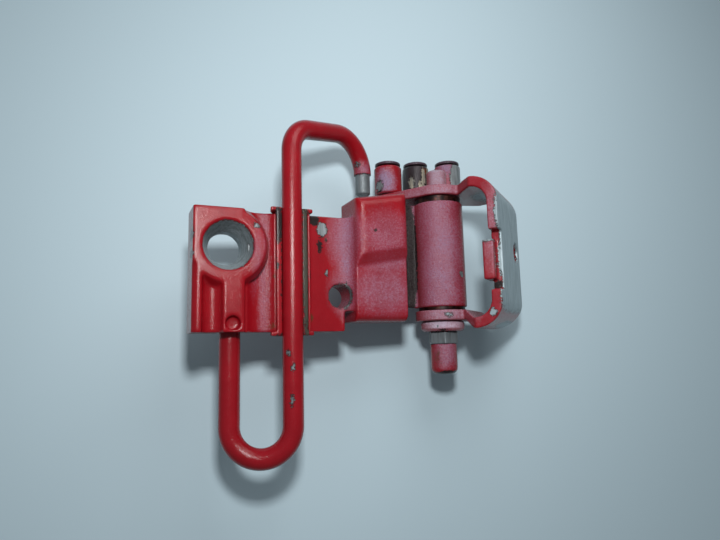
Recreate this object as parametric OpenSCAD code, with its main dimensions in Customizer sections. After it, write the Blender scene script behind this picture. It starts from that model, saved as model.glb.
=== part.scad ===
// Car door hinge with a bent check rod that rides on three rollers.
// X runs along the leaf towards the pin, Z along the pin, and -Y is the side that faces out.
// The origin is the centre of the leaf's bolt hole on the mounting face.

/* [Pin and barrel] */
// Diameter of the hinge pin
pin_d = 10; // [8:0.5:12]
// Length of the pin that stands above the upper arm
pin_top_len = 10; // [6:0.5:16]
// Outer diameter of the barrel
barrel_d = 24.5; // [22:0.5:30]
// Length of the barrel
barrel_len = 51.5; // [40:0.5:64]
// Wall of each bush
bush_wall = 2.5; // [1.5:0.25:3]
// Length of each bush inside the barrel
bush_len = 18; // [10:1:20]
// Thickness of the upper bush's flange
upper_flange_t = 2.7; // [0.8:0.1:4]
// Thickness of the lower bush's flange
lower_flange_t = 1.2; // [0.8:0.1:4]

/* [Leaf] */
// Distance from the pin axis to the free end of the leaf
leaf_reach = 120; // [110:1:145]
// Height of the leaf along the pin
leaf_h = 52; // [48:1:62]
// Drop from the middle of the barrel to the bolt hole
bolt_drop = 0.75; // [0:0.25:4]
// Drop from the bolt hole to the middle of the leaf
leaf_drop = 10; // [6:1:12]
// Distance from the pin axis back to the mounting face
back_depth = 9; // [8:0.5:12]
// Thickness of the leaf between its ribs
leaf_t = 12; // [11:0.5:15]
// Rise of the ribs and the boss above the leaf
rib_rise = 4; // [2:0.5:6]
// Distance from the free end to the bolt hole
bolt_inset = 14.4; // [13:0.1:16]
// Diameter of the bolt hole at the mounting face
bolt_d = 14.4; // [12:0.1:16]
// Diameter of the bolt hole's conical mouth
bolt_mouth_d = 21.6; // [18:0.2:24]
// Diameter of the second hole, beside the block
dowel_d = 10.5; // [8:0.25:12]

/* [Block] */
// Width of the block along the leaf
block_w = 26; // [22:0.5:32]
// Distance from the pin axis to the block's near side
block_gap = 23.5; // [20:0.5:30]
// Rise of the block's upper half above the leaf
block_rise = 9.5; // [6:0.5:12]
// Step down from the upper half to the lower half
block_step = 3.5; // [2:0.5:5]
// Rise of the upper half's lines towards the pin, in degrees
block_tilt = 10; // [0:1:12]

/* [Check rod] */
// Diameter of the rod
rod_d = 9; // [7:0.5:10]
// Diameter of the rod's turned tip
rod_tip_d = 7.5; // [6:0.25:8]
// Distance from the free end of the leaf to the rod's long leg
rod_inset = 41.7; // [38:0.1:46]
// Distance from the free end of the leaf to the rod's short leg
leg_inset = 17; // [16:0.5:19]
// Length of the rod's loop below the leaf
loop_len = 56.5; // [45:0.5:70]
// Height of the hook's near shoulder above the bracket's upper arm
hook_rise = 27; // [24:0.5:40]
// Bend radius of the hook on the long leg's side, to the rod's centre
hook_r1 = 13; // [9:0.5:16]
// Bend radius of the hook on the tip's side, to the rod's centre
hook_r2 = 17; // [10:0.5:18]
// Slope of the hook between its two bends, in degrees; below zero it rises towards the tip
hook_slope = -12; // [-15:1:15]
// Wall of the saddle that the rod lies in
saddle_wall = 2.5; // [1.5:0.25:3]

/* [Bracket] */
// Thickness of the bracket's steel
sheet_t = 5; // [4:0.25:6]
// Distance from the pin axis to the bracket's outer face
base_reach = 33.5; // [30:0.5:40]
// Width of the bracket before the pin
base_front = 15; // [14:0.5:18]
// Width of the bracket behind the pin
base_back = 28; // [24:0.5:34]
// Outward step in the upper arm
upper_joggle = 0.5; // [0.5:0.5:6]
// Outward step in the lower arm
lower_joggle = 4.5; // [1:0.5:6]
// Outer radius of the bracket's bends
bend_r = 13; // [9:0.5:14]
// Diameter of the door bolt's hole
door_bolt_d = 10; // [6:0.5:11]
// Angle of the bracket from the leaf's line, as it lies at rest
open_angle = 51; // [40:1:60]

/* [Rollers] */
// Diameter of the check rollers
roller_d = 14.5; // [12:0.5:15.5]
// Length of the check rollers
roller_len = 15; // [12:0.5:20]
// Radius of the circle that the rollers stand on
roller_ring_r = 25.5; // [25:0.1:30]
// Diameter of the rollers' rivets
rivet_d = 7; // [5:0.5:8]

/* [Hidden] */
$fn = 64;

// Clearances: turning fits, pieces that stay still in each other, and ends that run face to face
turn_gap = 0.03;
seat_gap = 0.02;
end_gap = 0.3;
cut = 1;

// Pin axis, seen from the bolt hole
pin_x = leaf_reach - bolt_inset;
pin_y = -back_depth;

// Leaf levels across its thickness, from the pin axis
back_y = back_depth;
face_y = back_y - leaf_t;
rib_y = face_y - rib_rise;
leaf_top = leaf_h / 2 - leaf_drop - bolt_drop;
leaf_bottom = leaf_top - leaf_h;
leaf_end_x = -leaf_reach;
bolt_x = leaf_end_x + bolt_inset;
boss_r = 15.5;
boss_flank = 2.5;
boss_land_w = bolt_inset + 6;
bolt_straight = 6;

// Leaf's outline seen along the pin: end land, its groove, the valley beside it and the rod's shoulder
end_land_w = leg_inset + 4.5;
end_bevel = 2.4;
end_groove_x = leaf_end_x + 8;
end_groove_r = 4.2;
valley_x = leaf_end_x + leg_inset + 12;
valley_r = 8.2;
valley_lift = 1.5;
shoulder_near = 2.5;
shoulder_far = 1.5;

// Block levels
block_x1 = -block_gap;
block_x0 = block_x1 - block_w;
block_y = face_y - block_rise;
block_foot = 4;
block_bottom = leaf_bottom + block_foot;
block_head_gap = 0.5;
block_round = 4;
brow_round = 5;
brow_back = 1;
block_fillet = 6;
lip_z = -2.75;
lip_h = 5.5;
web_y = 3;
web_back = 2;
dowel_wall = 0.6;
dowel_x = block_x0 - dowel_d / 2 - dowel_wall;
dowel_rise = 15.7;
dowel_z = leaf_bottom + dowel_rise;

// Corner of the leaf that is cut away beside and below the block
corner_w = 3.5;
corner_h = 9;

// Rod places, from the pin axis
rod_x = leaf_end_x + rod_inset;
rod_proud = 3;
rod_y = face_y - rod_proud;
leg_x = leaf_end_x + leg_inset;
leg_depth = 5;
leg_y = back_y - leg_depth;
leg_hold = 23;
leg_top = leaf_bottom + leg_hold;

// Dimple in the leaf's face over the short leg
dimple_x = leg_x - 0.6;
dimple_z = leaf_bottom + 3.7;
dimple_d = 6;
dimple_depth = 3;

// Bracket's arms across the barrel, which the hook and the rollers stand on
arm_z = barrel_len / 2 + upper_flange_t + end_gap;
arm_top_z = arm_z + sheet_t;
low_arm_z = barrel_len / 2 + lower_flange_t + end_gap;
low_arm_end_z = low_arm_z + sheet_t;
block_top = (arm_z - block_head_gap - block_w * tan(block_tilt)) * cos(block_tilt);

// Turned tip of the rod, beside the rollers
groove_gap = 0.3;
tip_gap = 0.4;
bend_thin = 0.06;
bend_lap = 0.3;
tip_angle = 152;
tip_len = 11;
tip_bevel = 1;
tip_ring_r = roller_ring_r + roller_d / 2 + tip_gap + rod_d / 2;
tip_x = tip_ring_r * cos(tip_angle);
tip_y = tip_ring_r * sin(tip_angle);

// Loop at the bottom of the rod, in the upright plane through both legs
loop_turn = atan2(leg_y - rod_y, leg_x - rod_x);
loop_r = norm([leg_x - rod_x, leg_y - rod_y]) / 2;
loop_z = leaf_bottom - loop_len + rod_d / 2 + loop_r;

// Hook at the top of the rod, in the upright plane from the long leg to the tip
hook_turn = atan2(tip_y - rod_y, tip_x - rod_x);
hook_span = norm([tip_x - rod_x, tip_y - rod_y]);
hook_z = arm_top_z + hook_rise - rod_d / 2 - hook_r1;
hook_bend1 = 90 + hook_slope;
hook_bend2 = 90 - hook_slope;
hook_run = (hook_span - hook_r1 * (1 + sin(hook_slope)) - hook_r2 * (1 - sin(hook_slope))) / cos(hook_slope);
hook_s1 = hook_r1 * (1 + sin(hook_slope));
hook_z1 = hook_z + hook_r1 * cos(hook_slope);
tip_z = hook_z1 - hook_run * sin(hook_slope) - hook_r2 * cos(hook_slope);

// Saddle round the rod's long leg
saddle_r = rod_d / 2 + turn_gap;
saddle_half = rod_d / 2 + saddle_wall;
saddle_lip_t = 1.8;
saddle_lip_w = 2.4;
saddle_rise = 0.8;
trough_open = 8;

// Bracket levels
arm_end_r = 13;
waist_angle = -22;
joggle_x0 = 13.5;
bend_in_r = bend_r - sheet_t;
bend_x = base_reach - bend_r;
joggle_x1 = bend_x - 1;
base_top = arm_top_z + upper_joggle;
base_low = low_arm_end_z + lower_joggle;
corner_r = 14;
tab_inset = 3;
tab_h = 18.5;
tab_depth = 11;
tab_z = -5.75;
notch_h = 4.5;
notch_depth = 6;
door_bolt_y = 20;
door_bolt_z = 1;

// Rollers: their places round the pin, from the bracket's outward side, and the shoulders under them
roller_angles = [188, 135, 95];
roller_shoulders = [0, 4.5, 4.5];
roller_foot_gap = 0.3;
shoulder_d = rivet_d + 3.5;
lobe_r = 6;
rivet_head_d = roller_d - 1;
rivet_head_t = 1.4;
rivet_rim_t = 1.6;

// Pieces under the lower arm
collar_d = pin_d + 11.2;
collar_t = 5;
collar_bevel = 1.2;
nut_corners_d = 1.5 * pin_d;
nut_t = 6;
nut_turn = 57;
cap_d = pin_d + 2.8;
cap_len = 14.5;
cap_round = 3;
cap_bore_len = 6;
collar_z = -low_arm_end_z - collar_t;
nut_z = collar_z - nut_t;
cap_z = nut_z - cap_len;

// Places a piece that is drawn round the pin axis into the part's frame
module on_pin() {
    translate([pin_x, pin_y, bolt_drop])
        children();
}

// Turns a piece of the bracket to the angle it lies at
module at_bracket() {
    rotate([0, 0, -open_angle])
        children();
}

// Places a piece on roller number i
module at_roller(i) {
    at_bracket()
        rotate([0, 0, roller_angles[i]])
            translate([roller_ring_r, 0, 0])
                children();
}

// A square outline with two or four rounded corners, from its low corner
module rounded_square(w, h, r) {
    translate([r, 0])
        square([w - 2 * r, h]);
    translate([0, r])
        square([w, h - 2 * r]);
    for (x = [r, w - r], y = [r, h - r])
        translate([x, y])
            circle(r);
}

// A plain ring
module ring(outer_r, inner_r, h) {
    difference() {
        cylinder(r = outer_r, h = h);
        translate([0, 0, -cut])
            cylinder(r = inner_r, h = h + 2 * cut);
    }
}

// A bend of the rod: it starts at the origin along +Z and leans to +X.
// It is drawn a little thinner than the straight lengths, as a drawn bend is.
module bent_bar(bend, turn) {
    translate([bend, 0, 0])
        rotate([90, 0, 0])
            mirror([1, 0, 0])
                rotate_extrude(angle = turn)
                    translate([bend, 0])
                        circle(d = rod_d - bend_thin);
}

// The leaf seen along the pin: flat back, ribs, valleys and the fillet up to the block
module leaf_outline() {
    difference() {
        union() {
            translate([leaf_end_x, face_y])
                square([leaf_reach - block_gap, leaf_t]);
            translate([leaf_end_x, rib_y])
                square([end_land_w, back_y - rib_y]);
            translate([rod_x - saddle_half - shoulder_near, rod_y])
                square([2 * saddle_half + shoulder_near + shoulder_far, back_y - rod_y]);
            translate([block_x0 - block_fillet, face_y - block_fillet])
                square(block_fillet + cut);
        }
        translate([end_groove_x, rib_y])
            circle(end_groove_r);
        translate([valley_x, rib_y - valley_lift])
            circle(valley_r);
        translate([block_x0 - block_fillet, face_y - block_fillet])
            circle(block_fillet);
        translate([leaf_end_x, rib_y])
            rotate(45)
                square(end_bevel, center = true);
    }
}

// The leaf's plate with the boss round the bolt hole
module leaf_plate() {
    difference() {
        translate([0, 0, leaf_bottom])
            linear_extrude(leaf_h)
                leaf_outline();
        translate([block_x0 - corner_w, block_y, leaf_bottom - cut])
            cube([corner_w + block_w + cut, back_y - block_y + cut, corner_h + cut]);
    }
    intersection() {
        union() {
            translate([bolt_x, face_y, -bolt_drop])
                rotate([90, 0, 0])
                    cylinder(r1 = boss_r + boss_flank, r2 = boss_r, h = rib_rise);
            translate([leaf_end_x, rib_y, -bolt_drop])
                cube([boss_land_w, rib_rise + cut, leaf_top + bolt_drop]);
        }
        translate([leaf_end_x, rib_y, leaf_bottom])
            cube([leaf_reach, leaf_t, leaf_h]);
    }
}

// The block's upper half seen along the leaf: a round brow above, a slanting lip below
module brow_outline() {
    lip_y = block_y + block_step + cut;
    lip_low = lip_z - lip_h * (1 + cut / block_step);
    difference() {
        polygon([
            [back_y - brow_back, lip_low], [lip_y, lip_low], [block_y, lip_z],
            [block_y, block_top], [back_y - brow_back, block_top]
        ]);
        translate([block_y, block_top - brow_round])
            difference() {
                square(brow_round + cut);
                translate([brow_round, 0])
                    circle(brow_round);
            }
    }
}

// The block's lower half seen along the leaf, round at its front edge
module foot_outline() {
    foot_y = block_y + block_step;
    translate([foot_y, block_bottom + block_round])
        square([back_y - foot_y, lip_z - block_bottom - block_round]);
    translate([foot_y + block_round, block_bottom])
        square([back_y - foot_y - block_round, lip_z - block_bottom]);
    translate([foot_y + block_round, block_bottom + block_round])
        circle(block_round);
}

// The block: a rounded mass whose upper half leans up towards the pin and overhangs the lower half
module block() {
    intersection() {
        translate([block_x0, block_y, block_bottom])
            linear_extrude(arm_z - block_bottom)
                rounded_square(block_w, back_y - block_y + 2 * block_round, block_round);
        union() {
            translate([block_x0 - cut, 0, 0])
                rotate([90, 0, 90])
                    linear_extrude(block_w + 2 * cut)
                        foot_outline();
            translate([block_x0, 0, 0])
                rotate([0, -block_tilt, 0])
                    translate([-block_w, 0, 0])
                        rotate([90, 0, 90])
                            linear_extrude(3 * block_w)
                                brow_outline();
        }
    }
}

// Web and barrel with the bore for the bushes
module barrel() {
    translate([block_x1 - block_round, web_y, -barrel_len / 2])
        cube([block_gap + block_round, back_y - web_y - web_back, barrel_len]);
    translate([0, 0, -barrel_len / 2])
        cylinder(d = barrel_d, h = barrel_len);
}

module hinge_leaf() {
    color("firebrick") on_pin() difference() {
        union() {
            leaf_plate();
            block();
            barrel();
        }
        translate([0, 0, -barrel_len])
            cylinder(d = pin_d + 2 * bush_wall, h = 2 * barrel_len);
        translate([bolt_x, back_y + cut, -bolt_drop])
            rotate([90, 0, 0])
                cylinder(d = bolt_d, h = leaf_t + rib_rise + 2 * cut);
        translate([bolt_x, back_y - bolt_straight, -bolt_drop])
            rotate([90, 0, 0])
                cylinder(d1 = bolt_d, d2 = bolt_mouth_d, h = leaf_t + rib_rise - bolt_straight);
        translate([dowel_x, back_y + cut, dowel_z])
            rotate([90, 0, 0])
                cylinder(d = dowel_d, h = leaf_t + block_rise + 2 * cut);
        translate([dimple_x, rib_y - cut, dimple_z])
            rotate([-90, 0, 0])
                cylinder(d = dimple_d, h = cut + dimple_depth);
        saddle_trough();
        leg_groove();
    }
}

// Trough across the leaf's face for the saddle
module saddle_trough() {
    translate([rod_x, 0, leaf_bottom - cut])
        linear_extrude(leaf_h + 2 * cut) {
            translate([0, rod_y])
                circle(saddle_half + seat_gap);
            translate([-saddle_half - seat_gap, rod_y - trough_open])
                square([2 * (saddle_half + seat_gap), trough_open]);
        }
}

// Groove across the leaf's back for the rod's short leg
module leg_groove() {
    groove_r = rod_d / 2 + groove_gap;
    translate([leg_x, 0, leaf_bottom - cut])
        linear_extrude(leg_top + groove_gap - leaf_bottom + cut) {
            translate([0, leg_y])
                circle(groove_r);
            translate([-groove_r, leg_y])
                square([2 * groove_r, back_y - leg_y + cut]);
        }
}

// A flanged bush, from the flange's outer face downwards
module bush(flange_t) {
    ring(pin_d / 2 + bush_wall - seat_gap, pin_d / 2 + turn_gap, bush_len + flange_t);
    translate([0, 0, bush_len])
        ring(barrel_d / 2 - 1, pin_d / 2 + turn_gap, flange_t);
}

module upper_bush() {
    color("darkgoldenrod") on_pin()
        translate([0, 0, barrel_len / 2 - bush_len])
            bush(upper_flange_t);
}

module lower_bush() {
    color("darkgoldenrod") on_pin()
        mirror([0, 0, 1])
            translate([0, 0, barrel_len / 2 - bush_len])
                bush(lower_flange_t);
}

module check_rod() {
    color("firebrick") on_pin() {
        translate([rod_x, rod_y, loop_z - bend_lap])
            cylinder(d = rod_d, h = hook_z - loop_z + 2 * bend_lap);
        translate([leg_x, leg_y, loop_z - bend_lap])
            cylinder(d = rod_d, h = leg_top - loop_z + bend_lap);
        translate([rod_x, rod_y, loop_z])
            rotate([0, 0, loop_turn])
                mirror([0, 0, 1])
                    bent_bar(loop_r, 180);
        translate([rod_x, rod_y, hook_z])
            rotate([0, 0, hook_turn])
                hook();
    }
}

// The hook, from the top of the long leg over to the turned tip
module hook() {
    bent_bar(hook_r1, hook_bend1);
    translate([hook_s1, 0, hook_z1 - hook_z])
        rotate([0, hook_bend1, 0]) {
            translate([0, 0, -bend_lap])
                cylinder(d = rod_d, h = hook_run + 2 * bend_lap);
            translate([0, 0, hook_run])
                bent_bar(hook_r2, hook_bend2);
        }
    translate([hook_span, 0, tip_z - hook_z])
        mirror([0, 0, 1]) {
            translate([0, 0, -bend_lap])
                cylinder(d = rod_tip_d, h = tip_len - tip_bevel + bend_lap);
            translate([0, 0, tip_len - tip_bevel])
                cylinder(d1 = rod_tip_d, d2 = rod_tip_d - 2 * tip_bevel, h = tip_bevel);
        }
}

// Outline of the saddle: a half-round trough with straight sides
module saddle_outline(wall_r) {
    difference() {
        union() {
            intersection() {
                circle(wall_r);
                translate([-wall_r, 0])
                    square([2 * wall_r, wall_r]);
            }
            translate([-wall_r, -saddle_rise])
                square([2 * wall_r, saddle_rise + seat_gap]);
        }
        circle(saddle_r);
        translate([-saddle_r, -saddle_rise - cut])
            square([2 * saddle_r, saddle_rise + cut]);
    }
}

module rod_saddle() {
    color("dimgray") on_pin()
        translate([rod_x, rod_y, 0]) {
            translate([0, 0, leaf_bottom])
                linear_extrude(leaf_h)
                    saddle_outline(saddle_half);
            for (z = [leaf_bottom - saddle_lip_t, leaf_top])
                translate([0, 0, z])
                    linear_extrude(saddle_lip_t)
                        saddle_outline(saddle_half + saddle_lip_w);
        }
}

// Half of the bracket's bent strip, seen along its width, with its arm stepped out by a joggle
module strip_outline(level, joggle) {
    far_z = level + sheet_t + joggle;
    bend_z = far_z - bend_r;
    translate([-arm_end_r - cut, level])
        square([joggle_x0 + arm_end_r + cut, sheet_t]);
    polygon([
        [joggle_x0, level], [joggle_x1, level + joggle],
        [joggle_x1, far_z], [joggle_x0, level + sheet_t]
    ]);
    translate([joggle_x1, level + joggle])
        square([bend_x - joggle_x1, sheet_t]);
    intersection() {
        translate([bend_x, bend_z])
            difference() {
                circle(bend_r);
                circle(bend_in_r);
            }
        translate([bend_x, bend_z])
            square(bend_r + cut);
    }
    translate([base_reach - sheet_t, 0])
        square([sheet_t, bend_z]);
}

// The bracket's blank seen along the pin: a round end at the pin, a waist, and the wider base
module blank_outline() {
    circle(arm_end_r);
    polygon([
        plate_point(waist_angle, arm_end_r), [bend_x, -base_front], [base_reach, -base_front],
        [base_reach, base_back], [bend_x, base_back], [0, arm_end_r]
    ]);
}

// The bracket's base seen from outside, with round corners at its far edge
module base_outline() {
    translate([-base_front, -base_low])
        square([base_front + base_back - corner_r, base_low + base_top]);
    translate([-base_front, corner_r - base_low])
        square([base_front + base_back, base_low + base_top - 2 * corner_r]);
    for (z = [corner_r - base_low, base_top - corner_r])
        translate([base_back - corner_r, z])
            circle(corner_r);
}

// A point of the roller plate, by its angle and its distance from the pin
function plate_point(angle, reach) = reach * [cos(angle), sin(angle)];

// Plate that carries the rollers, seen along the pin, with a lobe under each roller
module roller_plate_outline() {
    edge_r = roller_ring_r + lobe_r;
    first = roller_angles[0];
    last = roller_angles[2];
    for (a = roller_angles)
        translate(plate_point(a, roller_ring_r))
            circle(lobe_r);
    polygon([
        [0, -arm_end_r], plate_point(first, roller_ring_r) + plate_point(first + 90, lobe_r),
        for (a = roller_angles) plate_point(a, edge_r),
        plate_point(last, roller_ring_r) - plate_point(last + 90, lobe_r),
        [arm_end_r, 0]
    ]);
}

// The whole strip before its holes
module bracket_body() {
    intersection() {
        translate([0, base_back, 0])
            rotate([90, 0, 0])
                linear_extrude(base_front + base_back) {
                    strip_outline(arm_z, upper_joggle);
                    mirror([0, 1])
                        strip_outline(low_arm_z, lower_joggle);
                }
        translate([0, 0, -base_low])
            linear_extrude(base_low + base_top)
                blank_outline();
        translate([-arm_end_r, 0, 0])
            rotate([90, 0, 90])
                linear_extrude(arm_end_r + base_reach)
                    base_outline();
    }
    translate([0, 0, arm_z])
        linear_extrude(sheet_t)
            roller_plate_outline();
}

// Notch in the base's front edge that frees the stop tab
module tab_notch() {
    translate([base_reach - sheet_t - cut, -base_front - cut, tab_z - tab_h / 2 - notch_h])
        cube([sheet_t + 2 * cut, notch_depth + cut, tab_h + 2 * notch_h]);
}

// Stop tab, set inwards from the base
module stop_tab() {
    translate([base_reach - sheet_t - tab_inset, -base_front, tab_z - tab_h / 2])
        cube([sheet_t, tab_depth, tab_h]);
    translate([base_reach - sheet_t - cut, -base_front + notch_depth, tab_z - tab_h / 2])
        cube([2 * cut, tab_depth - notch_depth, tab_h]);
}

module door_bracket() {
    color("firebrick") on_pin() at_bracket() difference() {
        union() {
            difference() {
                bracket_body();
                tab_notch();
            }
            stop_tab();
        }
        translate([0, 0, -base_low])
            cylinder(d = pin_d + 2 * seat_gap, h = base_low + base_top);
        for (a = roller_angles)
            rotate([0, 0, a])
                translate([roller_ring_r, 0, arm_z - cut])
                    cylinder(d = rivet_d + 2 * seat_gap, h = sheet_t + 2 * cut);
        translate([base_reach - sheet_t - cut, door_bolt_y, door_bolt_z])
            rotate([0, 90, 0])
                cylinder(d = door_bolt_d, h = sheet_t + 2 * cut);
    }
}

module hinge_pin() {
    pin_bevel = 1;
    pin_low = nut_z - cap_bore_len + seat_gap;
    pin_high = arm_top_z + pin_top_len;
    color("indianred") on_pin() {
        translate([0, 0, pin_low])
            cylinder(d = pin_d, h = pin_high - pin_bevel - pin_low);
        translate([0, 0, pin_high - pin_bevel])
            cylinder(d1 = pin_d, d2 = pin_d - 2 * pin_bevel, h = pin_bevel);
    }
}

module pin_collar() {
    bore_r = pin_d / 2 + seat_gap;
    color("indianred") on_pin()
        translate([0, 0, collar_z])
            rotate_extrude()
                polygon([
                    [bore_r, 0], [collar_d / 2 - collar_bevel, 0], [collar_d / 2, collar_bevel],
                    [collar_d / 2, collar_t - collar_bevel], [collar_d / 2 - collar_bevel, collar_t],
                    [bore_r, collar_t]
                ]);
}

module pin_nut() {
    color("gray") on_pin()
        translate([0, 0, nut_z])
            rotate([0, 0, nut_turn - open_angle])
                difference() {
                    cylinder(d = nut_corners_d, h = nut_t, $fn = 6);
                    translate([0, 0, -cut])
                        cylinder(d = pin_d + 2 * seat_gap, h = nut_t + 2 * cut);
                }
}

module pin_cap() {
    color("firebrick") on_pin()
        translate([0, 0, cap_z])
            difference() {
                rotate_extrude() {
                    translate([0, cap_round])
                        square([cap_d / 2, cap_len - cap_round]);
                    square([cap_d / 2 - cap_round, cap_len]);
                    translate([cap_d / 2 - cap_round, cap_round])
                        intersection() {
                            circle(cap_round);
                            translate([0, -cap_round])
                                square(2 * cap_round);
                        }
                }
                translate([0, 0, cap_len - cap_bore_len])
                    cylinder(d = pin_d + 2 * seat_gap, h = cap_bore_len + cut);
            }
}

// Level that roller number i starts at
function roller_z(i) = arm_top_z + roller_shoulders[i] + roller_foot_gap;

// A check roller with its bore
module roller(i) {
    roller_bevel = 0.8;
    bore_r = rivet_d / 2 + turn_gap;
    on_pin() at_roller(i)
        translate([0, 0, roller_z(i)])
            rotate_extrude()
                polygon([
                    [bore_r, 0], [roller_d / 2 - roller_bevel, 0], [roller_d / 2, roller_bevel],
                    [roller_d / 2, roller_len - roller_bevel], [roller_d / 2 - roller_bevel, roller_len],
                    [bore_r, roller_len]
                ]);
}

// The rivet that a roller turns on: a shank set in the bracket, a shoulder and a domed head
module rivet(i) {
    head_z = roller_z(i) + roller_len + roller_foot_gap;
    dome_r = (pow(rivet_head_d / 2, 2) + pow(rivet_head_t, 2)) / (2 * rivet_head_t);
    on_pin() at_roller(i) {
        translate([0, 0, arm_z])
            cylinder(d = rivet_d, h = head_z - arm_z + rivet_rim_t / 2);
        if (roller_shoulders[i] > 0)
            translate([0, 0, arm_top_z])
                cylinder(d = shoulder_d, h = roller_shoulders[i]);
        translate([0, 0, head_z])
            rotate_extrude()
                intersection() {
                    translate([0, rivet_rim_t + rivet_head_t - dome_r])
                        circle(dome_r);
                    square([rivet_head_d / 2, rivet_rim_t + rivet_head_t]);
                }
    }
}

module first_roller() {
    color("indianred")
        roller(0);
}

module second_roller() {
    color("dimgray")
        roller(1);
}

module third_roller() {
    color("gray")
        roller(2);
}

module first_rivet() {
    color("dimgray")
        rivet(0);
}

module second_rivet() {
    color("dimgray")
        rivet(1);
}

module third_rivet() {
    color("dimgray")
        rivet(2);
}

hinge_leaf();
upper_bush();
lower_bush();
check_rod();
rod_saddle();
door_bracket();
hinge_pin();
pin_collar();
pin_nut();
pin_cap();
first_roller();
second_roller();
third_roller();
first_rivet();
second_rivet();
third_rivet();
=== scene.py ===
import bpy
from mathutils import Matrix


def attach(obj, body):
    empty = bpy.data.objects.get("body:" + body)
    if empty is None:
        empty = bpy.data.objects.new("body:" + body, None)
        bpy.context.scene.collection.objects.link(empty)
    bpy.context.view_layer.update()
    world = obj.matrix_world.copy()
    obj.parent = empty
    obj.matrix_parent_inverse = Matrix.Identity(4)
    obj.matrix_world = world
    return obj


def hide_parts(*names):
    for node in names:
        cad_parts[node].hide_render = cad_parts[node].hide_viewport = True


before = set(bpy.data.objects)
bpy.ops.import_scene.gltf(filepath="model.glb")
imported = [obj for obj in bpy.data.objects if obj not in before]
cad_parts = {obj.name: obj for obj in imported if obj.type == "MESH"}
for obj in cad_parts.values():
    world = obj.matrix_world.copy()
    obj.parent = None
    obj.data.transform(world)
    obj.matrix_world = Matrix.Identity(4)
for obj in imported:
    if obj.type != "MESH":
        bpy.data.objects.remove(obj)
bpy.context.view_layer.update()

from math import cos, pi, radians, sin

import bpy
from mathutils import Matrix, Vector

# Hinge leaf: one steel forging, a ribbed plate with a block and a barrel, bolted to the car's pillar.
# It was sprayed red with the car's body over dark primer, dry and dusty on the block and the barrel,
# where a paler painted sheen joins the dust, and it has chipped where tools and the bolt touched it.
# Forging leaves every edge soft.
MM = 0.001
WELD = 0.001 * MM
RED = "#9A0A17"
DEEP_RED = "#780710"
# Pale dry spray, which also paints the coat's sheen on faces towards the lamps
DRY_SPRAY_AND_SHEEN = "#947A94"
# Dark of the painted shade in the corners
CORNER_SHADE = "#2B1216"
# Dark of the primer in chips, also the painted shade that darkens the leaf's web
PRIMER_AND_SHADE = "#231B1B"
RUST = "#5A2F1C"
STEEL = "#8C9396"
DULL_STEEL = "#5C6263"
# Gloss of the coat, wet and dry, and of the steel under it
PAINT_SPECULAR = 0.18
COAT = 0.3
COAT_ROUGHNESS = 0.16
WET_ROUGHNESS = (0.14, 0.32)
DRY_ROUGHNESS = 0.12
STEEL_ROUGHNESS = 0.48
STEEL_METALLIC = 0.45
# Grain in mm: the grit is drawn coarser than that of real dry spray so that it shows
GRIT_SIZE = 0.8
CLOUD_SIZE = 12
CHIP_SIZE = 2.0
STREAK_SIZE = 1.5
STREAK_SHAPE = (1.0, 1.0, 0.12)
# Way towards the spray gun and the lamps: faces that look along it get paler, as dry spray and painted
# sheen
SPRAY_AND_LAMP_WAY = (-0.38, -0.8, 0.46)
# How far the outlines of wear wander and flake, in mm on spots and in sharpness on edges
RAGGEDNESS = 4.0
FLAKES = 1.5
EDGE_RAG = 0.24
EDGE_BAND = 0.02
# Where wear starts and where it is complete, in mm outside its spot
DRY_FADE = (2.0, -3.0)
BARE_FADE = (0.0, -0.12)
RIM_FADE = (0.4, 0.15)
DARK_FADE = (0.0, -0.3)
RUST_FADE = (0.4, -0.8)
# Relief in mm, and the shares of it that grit, the uneven skin and a chip's step take
PAINT_DEPTH = 0.35
WET_GRIT = 0.25
DRY_GRIT = 1.6
UNEVEN_SKIN = 0.5
CHIP_STEP = 0.5
# Spots are (middle, radii) in mm, and wear follows them with a ragged outline
# Dry spray, with painted highlights on the barrel's front, the valley, the fillet and the boss's crease
LEAF_DRY_AND_SHEEN = [((102, -9, 0), (15.5, 15.5, 62)), ((70, -10, 6), (24, 12.5, 22)),
            ((70, -8, -18), (24, 12, 18)), ((16, -12, -10), (1.2, 4, 34)),
            ((53.5, -14, -2), (4, 6, 16)), ((12, -13, -7), (1.5, 4, 8))]
# Chips to primer, and painted shade: the spot at x 88 darkens the web and the barrel's left flank
LEAF_CHIPS_AND_SHADE = [((38.5, -12, 14.2), (2.8, 3, 3.4)), ((64.7, -21.5, 9), (0.9, 2, 0.9)),
             ((41, -12, 2), (1.2, 3, 4)), ((35.5, -12, -12), (1.0, 3, 9)),
             ((88, -4.5, 1), (8, 5, 34)), ((44, -12, 5), (1.0, 2, 0.9)),
             ((50, -14, 3), (0.6, 2, 0.6)), ((51, -14, -2), (0.5, 2, 0.5)),
             ((49, -14, 8), (0.5, 2, 0.5))]
LEAF_RUST = [((20.3, -14, -11.9), (1.4, 3, 1.6)), ((18.8, -13, -33.5), (1.8, 3, 1.6)),
             ((36, -12, -30), (1.5, 3, 2))]
LEAF_BARE = [((0, -9, 0), (11.7, 13, 11.7)), ((11.7, -15, 8.9), (1.3, 4, 1.0)),
             ((42.3, -12, 9.8), (2.4, 3, 3.2)), ((82.9, -10, 1), (1.3, 7, 28)),
             ((110.6, -20.5, -9.5), (1.3, 3, 1.3)), ((-14.6, -12, 4), (1.1, 4, 1.9)),
             ((-14.6, -12, -4), (1.1, 4, 1.7)), ((51, -13, -20.3), (5.5, 2, 5.5)),
             ((44, -12, -10), (0.8, 2, 1.0))]


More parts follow.
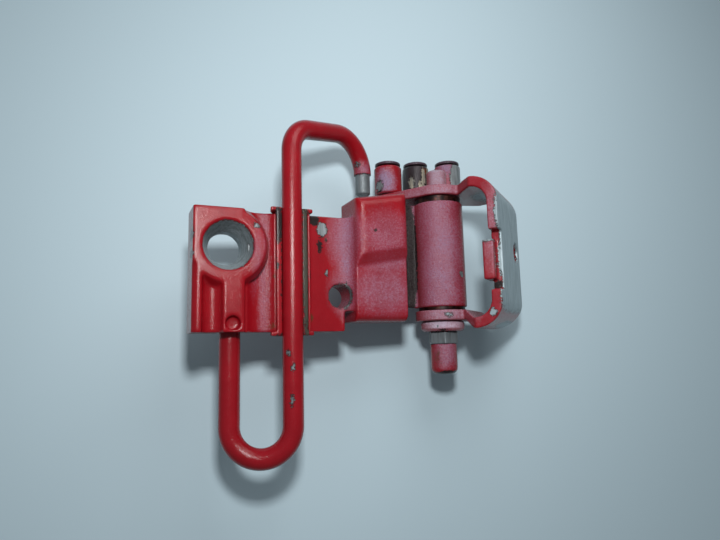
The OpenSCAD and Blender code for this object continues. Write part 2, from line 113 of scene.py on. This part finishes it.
def linear(hex_colour):
    """sRGB hex to the linear RGBA that shaders take."""
    channels = [int(hex_colour[i:i + 2], 16) / 255 for i in (1, 3, 5)]
    return [c / 12.92 if c <= 0.04045 else ((c + 0.055) / 1.055) ** 2.4 for c in channels] + [1.0]


def add(tree, kind, inputs=None, **settings):
    """Adds one shader node with its settings, and its inputs as values or as links from sockets."""
    node = tree.nodes.new("ShaderNode" + kind)
    for setting, value in settings.items():
        setattr(node, setting, value)
    for socket, value in (inputs or {}).items():
        if isinstance(value, bpy.types.NodeSocket):
            tree.links.new(value, node.inputs[socket])
        else:
            node.inputs[socket].default_value = value
    return node


def softened(node_name, piece_name, body, voxel, smoothing, inset=0):
    """Copies a CAD piece, rounds its edges a little and puts the copy in its place. Pieces that
    turn on each other are drawn in by inset mm all over, because the even skin is rougher than
    their clearance."""
    bpy.ops.object.select_all(action="DESELECT")
    piece = bpy.data.objects.new(piece_name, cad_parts[node_name].data.copy())
    bpy.context.scene.collection.objects.link(piece)
    piece.data.materials.clear()
    piece.select_set(True)
    bpy.context.view_layer.objects.active = piece
    bpy.ops.object.mode_set(mode="EDIT")
    bpy.ops.mesh.select_all(action="SELECT")
    bpy.ops.mesh.remove_doubles(threshold=WELD)
    bpy.ops.object.mode_set(mode="OBJECT")
    remesh = piece.modifiers.new("even skin", "REMESH")
    remesh.mode = "VOXEL"
    remesh.voxel_size = voxel * MM
    bpy.ops.object.modifier_apply(modifier=remesh.name)
    smooth = piece.modifiers.new("soft edges", "SMOOTH")
    smooth.factor = 0.5
    smooth.iterations = smoothing
    bpy.ops.object.modifier_apply(modifier=smooth.name)
    if inset:
        shrink = piece.modifiers.new("running clearance", "DISPLACE")
        shrink.mid_level = 0.0
        shrink.strength = -inset * MM
        bpy.ops.object.modifier_apply(modifier=shrink.name)
    bpy.ops.object.shade_smooth()
    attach(piece, body)
    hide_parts(node_name)
    return piece


def spot_distance(tree, coords, spots):
    """How far a point is outside the nearest spot, in mm along the spot's least radius; below 0
    it is inside."""
    nearest = None
    for middle, radii in spots:
        least = min(radii)
        squeeze = [least / r for r in radii]
        shift = [-m * s for m, s in zip(middle, squeeze)]
        local = add(tree, "VectorMath", {0: coords, 1: squeeze, 2: shift},
                    operation="MULTIPLY_ADD").outputs["Vector"]
        length = add(tree, "VectorMath", {0: local}, operation="LENGTH").outputs["Value"]
        outside = add(tree, "Math", {0: length, 1: least}, operation="SUBTRACT").outputs["Value"]
        nearest = outside if nearest is None else add(
            tree, "Math", {0: nearest, 1: outside}, operation="MINIMUM").outputs["Value"]
    return nearest


def sprayed_paint(name, dust=0.03, dusty=1.0, dry=(), dark=(), rust=(), bare=(), edge_wear=0.62,
                  centre=(0, 0, 0), turn=0, colours=(DEEP_RED, RED), spray=DRY_SPRAY_AND_SHEEN,
                  metal=STEEL, dull_metal=DULL_STEEL):
    """Semi-gloss body paint over primer and steel, which is smooth where wet and dull where dry.
    dust is how dry the coat is all over and dusty how dry it gets on the dry spots, where the pale spray
    also paints sheen; the other spots say where it has chipped to primer, where it is darkened as
    painted shade, where it is rusty and where it is bare."""
    material = bpy.data.materials.new(name)
    material.use_nodes = True
    tree = material.node_tree
    shader = tree.nodes["Principled BSDF"]
    shader.inputs["Specular IOR Level"].default_value = PAINT_SPECULAR
    shader.inputs["Coat Weight"].default_value = COAT
    shader.inputs["Coat Roughness"].default_value = COAT_ROUGHNESS
    coords = add(tree, "TexCoord").outputs
    place = add(tree, "Mapping", {"Vector": coords["Object"], "Location": [c * MM for c in centre],
                                  "Rotation": (0, 0, turn), "Scale": (MM, MM, MM)},
                vector_type="TEXTURE").outputs["Vector"]
    grit = add(tree, "TexNoise", {"Vector": place, "Scale": 1 / GRIT_SIZE, "Detail": 4.0,
                                  "Roughness": 0.7}).outputs["Fac"]
    cloud = add(tree, "TexNoise", {"Vector": place, "Scale": 1 / CLOUD_SIZE, "Detail": 4.0,
                                   "Roughness": 0.6}).outputs["Fac"]
    rag = add(tree, "TexNoise", {"Vector": place, "Scale": 1 / CHIP_SIZE, "Detail": 8.0,
                                 "Roughness": 0.75}).outputs
    rag_shift = add(tree, "VectorMath", {0: rag["Color"], 1: (0.5, 0.5, 0.5)},
                    operation="SUBTRACT").outputs["Vector"]
    ragged = add(tree, "VectorMath", {0: rag_shift, 1: [RAGGEDNESS] * 3, 2: place},
                 operation="MULTIPLY_ADD").outputs["Vector"]
    sharpness = add(tree, "NewGeometry").outputs["Pointiness"]

    def broken(spots):
        """Distance to the nearest spot with grit in it, so that outlines break up into flakes."""
        distance = spot_distance(tree, ragged, spots)
        flakes = add(tree, "MapRange", {"Value": grit, "To Min": FLAKES,
                                        "To Max": -FLAKES}).outputs["Result"]
        return add(tree, "Math", {0: distance, 1: flakes}, operation="ADD").outputs["Value"]

    # Wet paint: deep red in its clouds, darker in the corners as painted shade
    colour = add(tree, "Mix", {0: cloud, 6: linear(colours[0]), 7: linear(colours[1])},
                 data_type="RGBA").outputs[2]
    corner_shade = add(tree, "MapRange", {"Value": sharpness, "From Min": 0.47, "From Max": 0.38,
                                    "To Max": 0.75}).outputs["Result"]
    colour = add(tree, "Mix", {0: corner_shade, 6: colour, 7: linear(CORNER_SHADE)}, data_type="RGBA").outputs[2]
    # Dry spray and painted sheen: a pale speckle whose share follows dust, the dry spots and how far
    # a face looks towards the spray gun and the lamps, so that lit faces come out paler
    facing_spray_and_lamps = add(tree, "VectorMath", {0: coords["Normal"], 1: SPRAY_AND_LAMP_WAY},
                 operation="DOT_PRODUCT").outputs["Value"]
    facing_spray_and_lamps = add(tree, "MapRange", {"Value": facing_spray_and_lamps, "From Min": 0.35, "From Max": 0.9,
                                    "To Min": 0.2}).outputs["Result"]
    dry_and_sheen_share = dust
    if dry:
        dry_and_sheen_share = add(tree, "MapRange", {"Value": broken(dry), "From Min": DRY_FADE[0],
                                           "From Max": DRY_FADE[1], "To Min": dust,
                                           "To Max": dusty}).outputs["Result"]
    speckle = add(tree, "MapRange", {"Value": grit, "From Min": 0.3, "From Max": 0.7,
                                     "To Min": 0.4}).outputs["Result"]
    patch = add(tree, "MapRange", {"Value": cloud, "From Min": 0.3, "From Max": 0.7,
                                   "To Min": 0.55}).outputs["Result"]
    dryness_and_sheen = speckle
    for share in (patch, dry_and_sheen_share, facing_spray_and_lamps):
        dryness_and_sheen = add(tree, "Math", {0: dryness_and_sheen, 1: share}, operation="MULTIPLY").outputs["Value"]
    colour = add(tree, "Mix", {0: dryness_and_sheen, 6: colour, 7: linear(spray)}, data_type="RGBA").outputs[2]
    # Chips down to primer, with painted shade in the same dark on the leaf's web, then rust, then bare
    # metal on spots and on the sharpest edges
    edge = add(tree, "Math", {0: rag["Fac"], 1: EDGE_RAG, 2: sharpness},
               operation="MULTIPLY_ADD").outputs["Value"]
    edge_start = edge_wear + EDGE_RAG / 2
    worn = add(tree, "MapRange", {"Value": edge, "From Min": edge_start,
                                  "From Max": edge_start + EDGE_BAND}).outputs["Result"]
    primer_and_shade = add(tree, "MapRange", {"Value": edge, "From Min": edge_start - EDGE_BAND,
                                    "From Max": edge_start}).outputs["Result"]
    if bare:
        reach = broken(bare)
        spot = add(tree, "MapRange", {"Value": reach, "From Min": BARE_FADE[0],
                                      "From Max": BARE_FADE[1]}).outputs["Result"]
        rim = add(tree, "MapRange", {"Value": reach, "From Min": RIM_FADE[0],
                                     "From Max": RIM_FADE[1]}).outputs["Result"]
        worn = add(tree, "Math", {0: worn, 1: spot}, operation="MAXIMUM").outputs["Value"]
        primer_and_shade = add(tree, "Math", {0: primer_and_shade, 1: rim}, operation="MAXIMUM").outputs["Value"]
    if dark:
        chip_and_shade = add(tree, "MapRange", {"Value": broken(dark), "From Min": DARK_FADE[0],
                                      "From Max": DARK_FADE[1]}).outputs["Result"]
        primer_and_shade = add(tree, "Math", {0: primer_and_shade, 1: chip_and_shade}, operation="MAXIMUM").outputs["Value"]
    colour = add(tree, "Mix", {0: primer_and_shade, 6: colour, 7: linear(PRIMER_AND_SHADE)}, data_type="RGBA").outputs[2]
    if rust:
        stain = add(tree, "MapRange", {"Value": broken(rust), "From Min": RUST_FADE[0],
                                       "From Max": RUST_FADE[1]}).outputs["Result"]
        colour = add(tree, "Mix", {0: stain, 6: colour, 7: linear(RUST)}, data_type="RGBA").outputs[2]
    drawn = add(tree, "VectorMath", {0: place, 1: STREAK_SHAPE}, operation="MULTIPLY").outputs["Vector"]
    streak = add(tree, "TexNoise", {"Vector": drawn, "Scale": 1 / STREAK_SIZE, "Detail": 5.0,
                                    "Roughness": 0.7}).outputs["Fac"]
    bright = add(tree, "MapRange", {"Value": streak, "From Min": 0.3,
                                    "From Max": 0.6}).outputs["Result"]
    steel = add(tree, "Mix", {0: bright, 6: linear(dull_metal), 7: linear(metal)},
                data_type="RGBA").outputs[2]
    colour = add(tree, "Mix", {0: worn, 6: colour, 7: steel}, data_type="RGBA").outputs[2]
    tree.links.new(colour, shader.inputs["Base Color"])
    metallic = add(tree, "Math", {0: worn, 1: STEEL_METALLIC}, operation="MULTIPLY").outputs["Value"]
    tree.links.new(metallic, shader.inputs["Metallic"])
    # Gloss: grit dulls the wet paint a little, dry spray and painted sheen dull it more, and bare steel
    # is dull
    wet = add(tree, "MapRange", {"Value": grit, "To Min": WET_ROUGHNESS[0],
                                 "To Max": WET_ROUGHNESS[1]}).outputs["Result"]
    dull = add(tree, "Math", {0: dryness_and_sheen, 1: DRY_ROUGHNESS, 2: wet},
               operation="MULTIPLY_ADD").outputs["Value"]
    rough = add(tree, "Mix", {0: worn, 2: dull, 3: STEEL_ROUGHNESS}).outputs[0]
    tree.links.new(rough, shader.inputs["Roughness"])
    # Relief: grit that stands up where the coat is dry or painted with sheen, an uneven skin, and chips
    # that lie lower
    grit_height = add(tree, "Math", {0: dryness_and_sheen, 1: DRY_GRIT, 2: WET_GRIT},
                      operation="MULTIPLY_ADD").outputs["Value"]
    relief = add(tree, "Math", {0: grit, 1: grit_height}, operation="MULTIPLY").outputs["Value"]
    relief = add(tree, "Math", {0: rag["Fac"], 1: UNEVEN_SKIN, 2: relief},
                 operation="MULTIPLY_ADD").outputs["Value"]
    relief = add(tree, "Math", {0: worn, 1: -CHIP_STEP, 2: relief},
                 operation="MULTIPLY_ADD").outputs["Value"]
    bump = add(tree, "Bump", {"Height": relief, "Strength": 0.7,
                              "Distance": PAINT_DEPTH * MM}).outputs["Normal"]
    tree.links.new(bump, shader.inputs["Normal"])
    tree.links.new(bump, shader.inputs["Coat Normal"])
    return material


leaf = softened("hinge_leaf", "leaf_with_barrel", "leaf_half", voxel=0.6, smoothing=3)
leaf.data.materials.append(sprayed_paint("sprayed_forging", dry=LEAF_DRY_AND_SHEEN, dark=LEAF_CHIPS_AND_SHADE,
                                         rust=LEAF_RUST, bare=LEAF_BARE))

# Bushes: flanged bearing bronze, pressed into both ends of the barrel. Only the flanges' edges show,
# dark with old grease.
BRONZE = "#43221C"
OLD_GREASE = "#1A0E0D"
SMEAR_SIZE = 2.5
greasy_bronze = bpy.data.materials.new("greasy_bronze")
greasy_bronze.use_nodes = True
tree = greasy_bronze.node_tree
shader = tree.nodes["Principled BSDF"]
place = add(tree, "TexCoord").outputs["Object"]
smear = add(tree, "TexNoise", {"Vector": place, "Scale": 1 / (SMEAR_SIZE * MM),
                               "Detail": 3.0}).outputs["Fac"]
greasy = add(tree, "MapRange", {"Value": smear, "From Min": 0.4, "From Max": 0.55}).outputs["Result"]
colour = add(tree, "Mix", {0: greasy, 6: linear(BRONZE), 7: linear(OLD_GREASE)},
             data_type="RGBA").outputs[2]
tree.links.new(colour, shader.inputs["Base Color"])
shader.inputs["Metallic"].default_value = 0.7
shader.inputs["Roughness"].default_value = 0.4
for node_name in ("upper_bush", "lower_bush"):
    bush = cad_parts[node_name]
    bush.data.materials.clear()
    bush.data.materials.append(greasy_bronze)

# Rod saddle: a moulded plastic trough between the rod and the leaf. The spray covered it with the
# rest, and it has flaked off in long strips because paint holds badly on plastic.
BARE_PLASTIC = "#45433A"
DULL_PLASTIC = "#2C2B26"
SADDLE_DARK = [((20.8, -16, 10), (2.6, 6, 9)), ((22.8, -16, -10), (0.7, 6, 30)),
               ((20.4, -15, -8), (0.8, 4, 3)), ((27, -15, 17.5), (7, 5, 1.0)),
               ((27, -15, -37.5), (8, 6, 1.0))]
SADDLE_RUST = [((30, -15, 15), (1.5, 4, 2))]
SADDLE_BARE = [((33.1, -17, -10), (1.2, 6, 40))]
saddle = softened("rod_saddle", "rod_saddle_trough", "leaf_half",
                  voxel=0.4, smoothing=3)
saddle.data.materials.append(sprayed_paint("sprayed_plastic", dark=SADDLE_DARK, rust=SADDLE_RUST,
                                           bare=SADDLE_BARE, edge_wear=0.72, metal=BARE_PLASTIC,
                                           dull_metal=DULL_PLASTIC))

# Check rod: one bar of round spring steel, bent to a loop, a long leg and a hook. It is the glossiest
# piece, with a few chips on the long leg, and the tip that rides on the rollers is turned down and bare.
ROD_R = 4.45
ROD_SIDES = 48
LEG_TOP = Vector((2.6, -5.0, -13.0))
LOOP_Z = -74.676
LOOP_STEPS = 40
LONG_LEG = Vector((27.3, -15.0, 0.0))
HOOK_Z = 44.0
HOOK_TIP = Vector((72.357, 8.676, 0.0))
HOOK_R1 = 13.0
HOOK_STEPS1 = 24
HOOK_R2 = 17.0
HOOK_STEPS2 = 30
HOOK_SLOPE = radians(-12)
TIP_R = 3.75
TIP_FOOT_Z = 33.36
TIP_BEVEL = 1.0
SHARP_ANGLE = radians(35)
TIP_STEEL = "#7A8286"
ROD_DRY = [((72, 5, 46.5), (6, 8, 3.2))]
ROD_BARE = [((24.4, -19, -45), (0.5, 3, 1.0)), ((26.2, -19.5, -51), (0.8, 3, 1.2)),
            ((25.6, -19, -64), (0.6, 3, 1.8)), ((67.5, 2.5, 48.5), (1.8, 4, 1.3)),
            ((72.4, 8.7, 37.5), (9, 9, 7.2))]
UP = Vector((0, 0, 1))
short_leg = Vector((LEG_TOP.x, LEG_TOP.y, 0))
loop_axis = (LONG_LEG - short_leg).normalized().cross(UP)
loop_middle = (short_leg + LONG_LEG) / 2 + UP * LOOP_Z
across = (HOOK_TIP - LONG_LEG).normalized()
hook_axis = across.cross(UP)
# The hook's sloping run: the way that it goes, and the way out to it from a bend's middle
run_way = cos(HOOK_SLOPE) * across - sin(HOOK_SLOPE) * UP
run_side = cos(HOOK_SLOPE) * UP + sin(HOOK_SLOPE) * across
hook_span = (HOOK_TIP - LONG_LEG).length
bends_span = HOOK_R1 * (1 + sin(HOOK_SLOPE)) + HOOK_R2 * (1 - sin(HOOK_SLOPE))
hook_run = (hook_span - bends_span) / cos(HOOK_SLOPE)
bend1_middle = LONG_LEG + across * HOOK_R1 + UP * HOOK_Z
bend2_middle = bend1_middle + run_side * (HOOK_R1 - HOOK_R2) + run_way * hook_run


def draw_out(way):
    """Draws the selected end of a bar out by a vector in mm."""
    bpy.ops.mesh.extrude_region_move(TRANSFORM_OT_translate={"value": way * MM})


def bend_round(middle, axis, angle, steps):
    """Bends the selected end of a bar on round a point in mm."""
    bpy.ops.mesh.spin(steps=steps, angle=angle, center=middle * MM, axis=axis)


bpy.ops.object.select_all(action="DESELECT")
bpy.ops.mesh.primitive_circle_add(vertices=ROD_SIDES, radius=ROD_R * MM, fill_type="NGON",
                                  location=LEG_TOP * MM)
rod = bpy.context.object
rod.name = "bent_check_rod"
bpy.ops.object.transform_apply()
bpy.ops.object.mode_set(mode="EDIT")
bpy.ops.mesh.select_all(action="SELECT")
draw_out(UP * (LOOP_Z - LEG_TOP.z))
bend_round(loop_middle, loop_axis, -pi, LOOP_STEPS)
draw_out(UP * (HOOK_Z - LOOP_Z))
bend_round(bend1_middle, hook_axis, pi / 2 + HOOK_SLOPE, HOOK_STEPS1)
draw_out(run_way * hook_run)
bend_round(bend2_middle, hook_axis, pi / 2 - HOOK_SLOPE, HOOK_STEPS2)
bpy.ops.mesh.inset(thickness=(ROD_R - TIP_R) * MM)
draw_out(UP * (TIP_FOOT_Z + TIP_BEVEL - bend2_middle.z))
draw_out(UP * -TIP_BEVEL)
bpy.ops.transform.resize(value=[(TIP_R - TIP_BEVEL) / TIP_R] * 2 + [1],
                         center_override=(HOOK_TIP + UP * TIP_FOOT_Z) * MM)
bpy.ops.mesh.select_all(action="SELECT")
bpy.ops.mesh.remove_doubles(threshold=WELD)
bpy.ops.mesh.normals_make_consistent(inside=False)
bpy.ops.object.mode_set(mode="OBJECT")
bpy.ops.object.shade_smooth_by_angle(angle=SHARP_ANGLE)
rod.data.materials.append(sprayed_paint("sprayed_spring_steel", dry=ROD_DRY, bare=ROD_BARE,
                                        edge_wear=0.9, metal=TIP_STEEL))
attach(rod, "leaf_half")
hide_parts("check_rod")

# Door bracket: one strip of 5 mm steel, pressed to a U with a stop tab and a plate for the rollers.
# The door covered its outer face, which stayed bare; the red edges have chipped to steel.
PIN_AXIS = (105.6, -9.0, 0.0)
BRACKET_TURN = radians(-51)
BRACKET_SPRAY_AND_SHEEN = "#A793A7"
BRACKET_STEEL = "#9CACB2"
DULL_BRACKET_STEEL = "#7C8A8E"
# The dry spots paint dry spray and light: the one on the lower arm pales it where it lies in shade
# In the bracket's own axes: outwards from the pin, across the strip, along the pin
BRACKET_DRY_AND_SHEEN = [((0, -8, 30), (17, 12, 6)), ((4, -10, -30), (18, 9, 6)), ((33, -15, 10), (6, 3, 16))]
BRACKET_BARE = [((36.4, 8, 0), (4.4, 42, 85)), ((26.5, 14, 0), (4.5, 22, 42)),
                ((22, 7, 26), (9, 16, 4.5)), ((33, -15, 17), (1.0, 3, 7)),
                ((28, -14, 4), (3.4, 4, 1.2)), ((32.5, -12, -5), (1.6, 5, 9)),
                ((9, -13, -29), (3.5, 3, 1.8)), ((14, -14, -31), (2.0, 3, 1.5)),
                ((29, -15, -29), (1.6, 3, 1.6))]
BRACKET_DARK = [((31, 20, 1.75), (2.4, 5.6, 5.6)), ((31, -10, -16.5), (4, 3, 2.2))]
bracket = softened("door_bracket", "pressed_door_bracket", "bracket_half",
                   voxel=0.55, smoothing=4)
bracket.data.materials.append(sprayed_paint("sprayed_pressing", dust=0.12, dusty=1.05,
                                            dry=BRACKET_DRY_AND_SHEEN, bare=BRACKET_BARE, dark=BRACKET_DARK,
                                            edge_wear=0.6, centre=PIN_AXIS, turn=BRACKET_TURN,
                                            spray=BRACKET_SPRAY_AND_SHEEN, metal=BRACKET_STEEL,
                                            dull_metal=DULL_BRACKET_STEEL))

# Rollers: three hardened steel sleeves that turn on rivets in the bracket's plate. The rod's tip has
# worn the spray off them: the first is scuffed on one side, the second is black with pale and rusty
# stains, and the third is half bare.
RUNNING_INSET = 0.12
STAINED_BLACK = ("#161312", "#2E2927")
PALE_STAIN = "#B9AF9A"
ROLLERS = {
    "first": dict(dust=0.05, dusty=1.9, dry=[((82, 3, 40.5), (5.5, 6, 6.5))],
                  dark=[((80, 5, 36), (1.2, 3, 1.2))], bare=[((80.2, 5, 39), (1.4, 3, 2.4))]),
    "second": dict(dust=0.1, rust=[((110, 10, 51), (2.2, 4, 2))], colours=STAINED_BLACK,
                   metal=PALE_STAIN,
                   bare=[((103, 11, 44), (1.0, 4, 4)), ((107, 9, 42), (1.1, 4, 3)),
                         ((109, 10, 47), (1.4, 4, 6)), ((113, 12, 46), (2.2, 4, 10))]),
    "third": dict(dust=0.5, dusty=1.5, dry=[((121, 3, 52), (7, 6, 4))],
                  dark=[((124, 3, 42), (3, 5, 3))], bare=[((125.5, 2.5, 46), (4, 7, 9))]),
}
for order, wear in ROLLERS.items():
    roller = softened(order + "_roller", order + "_check_roller", order + "_roller_body",
                      voxel=0.4, smoothing=3, inset=RUNNING_INSET)
    roller.data.materials.append(sprayed_paint("worn_" + order + "_roller", edge_wear=0.66, **wear))

# Rivets: dark steel pins with domed heads that hold the rollers on the plate, black with oil,
# with a little pink spray worn off their rims.
OILY_BLACK = ("#141212", "#3A2A2A")
WORN_RIM = "#8C7A7C"
for order in ROLLERS:
    rivet = softened(order + "_rivet", order + "_roller_rivet", "bracket_half",
                     voxel=0.4, smoothing=3, inset=RUNNING_INSET)
    rivet.data.materials.append(sprayed_paint("oily_" + order + "_rivet", dust=0.35, edge_wear=0.7,
                                              colours=OILY_BLACK, metal=WORN_RIM))

# Pin, collar, nut and cap: the pin is fast in both arms; the collar, the nut and the cap hold it below.
# All but the nut were sprayed, and the pin's top and the collar are the dustiest pieces; the collar's
# pale spray also paints light on it where the arm above shades it.
PIN_SPRAY = "#A597A8"
COLLAR_SPRAY_AND_SHEEN = "#C4B2C4"
NUT_STEEL = "#757C80"
pin = softened("hinge_pin", "hinge_pin_shaft", "bracket_half", voxel=0.45, smoothing=4)
pin.data.materials.append(sprayed_paint("dusty_pin", dusty=1.4, edge_wear=0.7, spray=PIN_SPRAY,
                                        dry=[((105.6, -9, 43), (24, 24, 14))]))
collar = softened("pin_collar", "pin_collar_ring", "bracket_half",
                  voxel=0.4, smoothing=5)
collar.data.materials.append(sprayed_paint("dusty_and_lit_collar", dusty=1.8, edge_wear=0.68,
                                           spray=COLLAR_SPRAY_AND_SHEEN,
                                           dry=[((105.6, -9, -33), (26, 26, 9))],
                                           dark=[((100, -18, -36), (3, 3, 0.8))]))
nut = softened("pin_nut", "pin_nut_hexagon", "bracket_half", voxel=0.35, smoothing=3)
nut.data.materials.append(sprayed_paint("scuffed_nut", dust=0.2, edge_wear=0.7, metal=NUT_STEEL,
                                        bare=[((105.6, -9, -40.5), (16, 16, 4.2))],
                                        dark=[((105.6, -9, -43.4), (14, 14, 0.7))]))
cap = softened("pin_cap", "pin_end_cap", "bracket_half", voxel=0.4, smoothing=4)
cap.data.materials.append(sprayed_paint("sprayed_cap", dust=0.08, edge_wear=0.75,
                                        dry=[((103, -15, -47), (8, 6, 7))],
                                        rust=[((99.6, -14, -49), (1.2, 3, 4))],
                                        dark=[((105, -14, -56.5), (9, 9, 1.4))]))

# Table: the pale painted top that the hinge lies on. It leans a little from the camera and touches the
# hinge's deepest point. It shows from the camera's side only, so that the hinge can be seen from behind.
CAMERA_TURN = (Matrix.Rotation(radians(-24), 3, "Z") @ Matrix.Rotation(radians(98), 3, "X")
               @ Matrix.Rotation(radians(-1.4), 3, "Z"))
PIN_MIDDLE = Vector((105.6, -9.0, 2.0)) * MM
PIN_IN_VIEW = Vector((39.75, 8.0, -280.0)) * MM
TABLE_PAINT = "#BCD1DA"
TABLE_ROUGHNESS = 0.6
TABLE_SIZE = 3000
TABLE_LEAN = Vector((0.22, 0.2, 0.955))
camera_place = PIN_MIDDLE - CAMERA_TURN @ PIN_IN_VIEW
table_up = (CAMERA_TURN @ TABLE_LEAN).normalized()
table_depth = min(v.co.dot(table_up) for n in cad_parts.values() for v in n.data.vertices)
bpy.ops.object.select_all(action="DESELECT")
bpy.ops.mesh.primitive_plane_add(size=TABLE_SIZE * MM, location=table_up * table_depth,
                                 rotation=table_up.to_track_quat("Z", "Y").to_euler())
table = bpy.context.object
table.name = "table_top"
table.visible_diffuse = False
table.visible_shadow = False
table_paint = bpy.data.materials.new("pale_table_paint")
table_paint.use_nodes = True
tree = table_paint.node_tree
shader = tree.nodes["Principled BSDF"]
shader.inputs["Base Color"].default_value = linear(TABLE_PAINT)
shader.inputs["Roughness"].default_value = TABLE_ROUGHNESS
behind = add(tree, "NewGeometry").outputs["Backfacing"]
clear = add(tree, "BsdfTransparent").outputs["BSDF"]
one_sided = add(tree, "MixShader", {0: behind, 1: shader.outputs["BSDF"], 2: clear})
tree.links.new(one_sided.outputs["Shader"], tree.nodes["Material Output"].inputs["Surface"])
table.data.materials.append(table_paint)

# Light: a small lamp over the camera, which draws the short shadows, a large soft one beyond the
# picture's upper edge, and a pale room all round.
ROOM = "#D3DEE4"
ROOM_STRENGTH = 0.24
world = bpy.data.worlds.new("pale_room")
bpy.context.scene.world = world
world.use_nodes = True
room = world.node_tree.nodes["Background"]
room.inputs["Color"].default_value = linear(ROOM)
room.inputs["Strength"].default_value = ROOM_STRENGTH
bpy.context.scene.view_settings.view_transform = "Standard"


def lamp(name, place, aim, size, power):
    """Adds a square soft lamp that faces a point; both are in mm in the camera's own axes."""
    lamp_place = camera_place + CAMERA_TURN @ (Vector(place) * MM)
    lamp_aim = camera_place + CAMERA_TURN @ (Vector(aim) * MM)
    bpy.ops.object.light_add(type="AREA", location=lamp_place)
    light = bpy.context.object
    light.name = name
    light.data.size = size * MM
    light.data.energy = power
    light.rotation_euler = (lamp_aim - lamp_place).to_track_quat("-Z", "Y").to_euler()


lamp("lamp_front", place=(10, 95, 0), aim=(10, 0, -280), size=30, power=0.62)
lamp("lamp_top", place=(110, 270, -110), aim=(0, 10, -290), size=200, power=0.4)

# Camera: over the table, where the photograph was taken from, with a short lens that sees the hinge
# from close by.
bpy.ops.object.camera_add(location=camera_place, rotation=CAMERA_TURN.to_euler())
camera = bpy.context.object
camera.data.lens = 28
camera.data.sensor_width = 36
camera.data.clip_start = 10 * MM
bpy.context.scene.camera = camera
